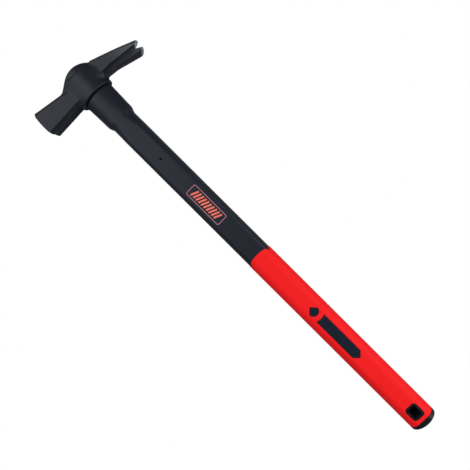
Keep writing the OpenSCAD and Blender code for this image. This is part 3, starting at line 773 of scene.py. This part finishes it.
def loops(rows, shut_ends=False):
    """Skin through rows of points that all have the same length and close on themselves"""
    n = len(rows[0])
    faces = []
    for k in range(len(rows) if not shut_ends else len(rows) - 1):
        m = (k + 1) % len(rows)
        faces += [[k * n + i, k * n + (i + 1) % n, m * n + (i + 1) % n, m * n + i] for i in range(n)]
    if shut_ends:
        faces += [list(range(n)), list(range((len(rows) - 1) * n, len(rows) * n))]
    return np.concatenate(rows), faces


def quarter(count):
    """Falls of a quarter round of radius 1, from its side to its top"""
    return [(1 - math.cos(a), 1 - math.sin(a)) for a in np.linspace(0, math.pi / 2, count)]


bush_plan = grown(bush_plan, -INLAY_GAP)
rows = []
for side in (1, -1):
    lip = [(BUSH_EDGE_R * a, BUSH_EDGE_R * b) for a, b in quarter(5)]
    bore = [(BUSH_WALL - BORE_EDGE_R * b, BORE_EDGE_R * a) for a, b in quarter(6)]
    ring = []
    for away, depth in lip + bore:
        plan = grown(bush_plan, -away)
        ring.append(np.column_stack([plan, np.full(len(plan), side * (GRIP[1] / 2 - depth))]))
    rows += ring if side > 0 else ring[::-1]
points, faces = loops(rows)
settled(piece("lanyard_liner", points, faces, acetal, "lanyard_bush", 50))

turns = np.linspace(0, 2 * way, 129)[:-1]
section, out = across(turns, GRIP)


def dome(spot):
    """Station of the butt's round end at points of the section"""
    fall = BUTT_R ** 2 - (spot[:, 0] - BUTT_Y) ** 2 - spot[:, 1] ** 2
    return END_X - BUTT_R + np.sqrt(np.maximum(fall, 0))


# The cap's hollow back, its edge at the grip, its rounded rim and its domed end, closed by small poles
level = CAP_X + 0 * turns
pole = 0.02
rows = [np.column_stack([level + CAP_HOLLOW, section * pole]),
        np.column_stack([level + CAP_GAP, section - out * GRIP_WALL])]
for a, b in quarter(5):
    rows.append(np.column_stack([level + CAP_GAP + CAP_EDGE_R * a, section - out * CAP_EDGE_R * b]))
for a, b in quarter(7):
    spot = section - out * BUTT_EDGE_R * a
    rows.append(np.column_stack([np.maximum(dome(spot) - BUTT_EDGE_R * b, level + CAP_SIDE), spot]))
for share in np.linspace(1, pole, 14)[1:]:
    spot = (section - out * BUTT_EDGE_R) * share
    rows.append(np.column_stack([dome(spot), spot]))
points, faces = loops(rows, True)
settled(piece("butt_cap_moulding", points, faces, nylon, "butt_cap", 50))


# Eye: rod end and resin keep their construction shapes

# Glass rovings in cured resin: pale straw, streaked along the rod
rod = surface("pultruded_glass_fibre", ("#c9bd92", "#e2dab8"), (0.45, 0.6), 0.5, 0.01, (0.05, 1, 1),
              Specular_IOR_Level=0.5)
# Poured epoxy: dark amber and glossy, with a slow skin ripple
resin = surface("poured_amber_epoxy", ("#4a3a20", "#63502f"), (0.14, 0.24), 3.0, 0.05,
                Specular_IOR_Level=0.5)
for node, made in (("core_rod", rod), ("eye_resin", resin)):
    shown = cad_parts[node]
    shown.data.materials.clear()
    shown.data.materials.append(made)


# Studio

def white_to_camera(tree, lit, kind, output):
    """Shows plain white to the camera, and the given shader to all other rays"""
    seen = add(tree, "ShaderNodeLightPath")
    white = add(tree, kind, {0: (1, 1, 1, 1), 1: 1.0})
    both = add(tree, "ShaderNodeMixShader",
               links={0: seen.outputs["Is Camera Ray"], 1: lit.outputs[0], 2: white.outputs[0]})
    tree.links.new(both.outputs[0], tree.nodes[output].inputs[0])


# Soft cool light from all round
world = bpy.data.worlds.new("studio")
bpy.context.scene.world = world
world.use_nodes = True
sky = world.node_tree.nodes["Background"]
sky.inputs[0].default_value = (0.16, 0.18, 0.215, 1)
white_to_camera(world.node_tree, sky, "ShaderNodeBackground", "World Output")

# Backdrop paper: plain white to the camera, matt grey to the light so that it throws little back
paper = bpy.data.materials.new("white_backdrop_paper")
paper.use_nodes = True
shader = paper.node_tree.nodes["Principled BSDF"]
shader.inputs["Base Color"].default_value = (0.4, 0.4, 0.4, 1)
shader.inputs["Roughness"].default_value = 0.9
shader.inputs["Specular IOR Level"].default_value = 0.1
white_to_camera(paper.node_tree, shader, "ShaderNodeEmission", "Material Output")

# The hammer lies on its eye, the lower claw tip and the butt, so the floor is a little out of level
rests = [np.array(p) for p in ((39.0, -0.8, -18.0), (36.0, 70.0, -20.0), (592.0, -0.8, -13.5))]
slope = np.linalg.solve(np.array([[p[0], p[1], 1] for p in rests]), np.array([p[2] for p in rests]))
corners = [np.array((x, y, slope @ (x, y, 1) - 0.1))
           for x, y in ((-300, -500), (900, -500), (900, 500), (-300, 500))]
mesh = bpy.data.meshes.new("floor")
mesh.from_pydata([tuple((p + ORIGIN) * MM) for p in corners], [], [(0, 1, 2, 3)])
mesh.materials.append(paper)
floor = bpy.data.objects.new("floor", mesh)
bpy.context.scene.collection.objects.link(floor)

for name, place, size, power, tint in (
    ("key_softbox", (-450, -450, 1080), (1.3, 1.3), 15.0, (0.95, 0.975, 1.08)),
    ("claw_side_softbox", (750, 750, 650), (1.2, 0.8), 8.4, (0.95, 0.98, 1.06)),
    ("butt_end_softbox", (1400, 1000, 1000), (1.4, 1.2), 8.5, (0.94, 0.98, 1.07)),
):
    lamp = bpy.data.lights.new(name, "AREA")
    lamp.shape, lamp.size, lamp.size_y, lamp.energy, lamp.color = "RECTANGLE", size[0], size[1], power, tint
    shown = bpy.data.objects.new(name, lamp)
    bpy.context.scene.collection.objects.link(shown)
    shown.location = Vector((np.array(place) + ORIGIN) * MM)
    shown.rotation_mode = "QUATERNION"
    aim = Vector((ORIGIN + (250, 0, 0)) * MM) - shown.location
    shown.rotation_quaternion = aim.to_track_quat("-Z", "Y")

# Camera of the photo: close over the handle, tipped to the claw's side, with the handle on the diagonal
CAMERA_AWAY, CAMERA_X, CAMERA_ASIDE = 596, 275.55, -2.91
FOCAL_PIXELS, PICTURE_PIXELS, SENSOR = 491.0, 470, 36.0
tip, roll = math.radians(6.7), math.radians(44.865)
back = Vector((0, math.sin(tip), math.cos(tip)))
aside = Vector((0, math.cos(tip), -math.sin(tip)))
along = Vector((1, 0, 0))
right = along * math.cos(roll) + aside * math.sin(roll)
up = aside * math.cos(roll) - along * math.sin(roll)
eye = along * CAMERA_X + back * CAMERA_AWAY + aside * CAMERA_ASIDE
camera = bpy.data.objects.new("camera", bpy.data.cameras.new("camera"))
camera.data.sensor_width = SENSOR
camera.data.lens = FOCAL_PIXELS / PICTURE_PIXELS * SENSOR
camera.data.clip_start, camera.data.clip_end = 0.01, 20
place = Matrix((right, up, back)).transposed().to_4x4()
place.translation = (eye + Vector(ORIGIN)) * MM
camera.matrix_world = place
bpy.context.scene.collection.objects.link(camera)
bpy.context.scene.camera = camera
bpy.context.scene.view_settings.view_transform = "Standard"
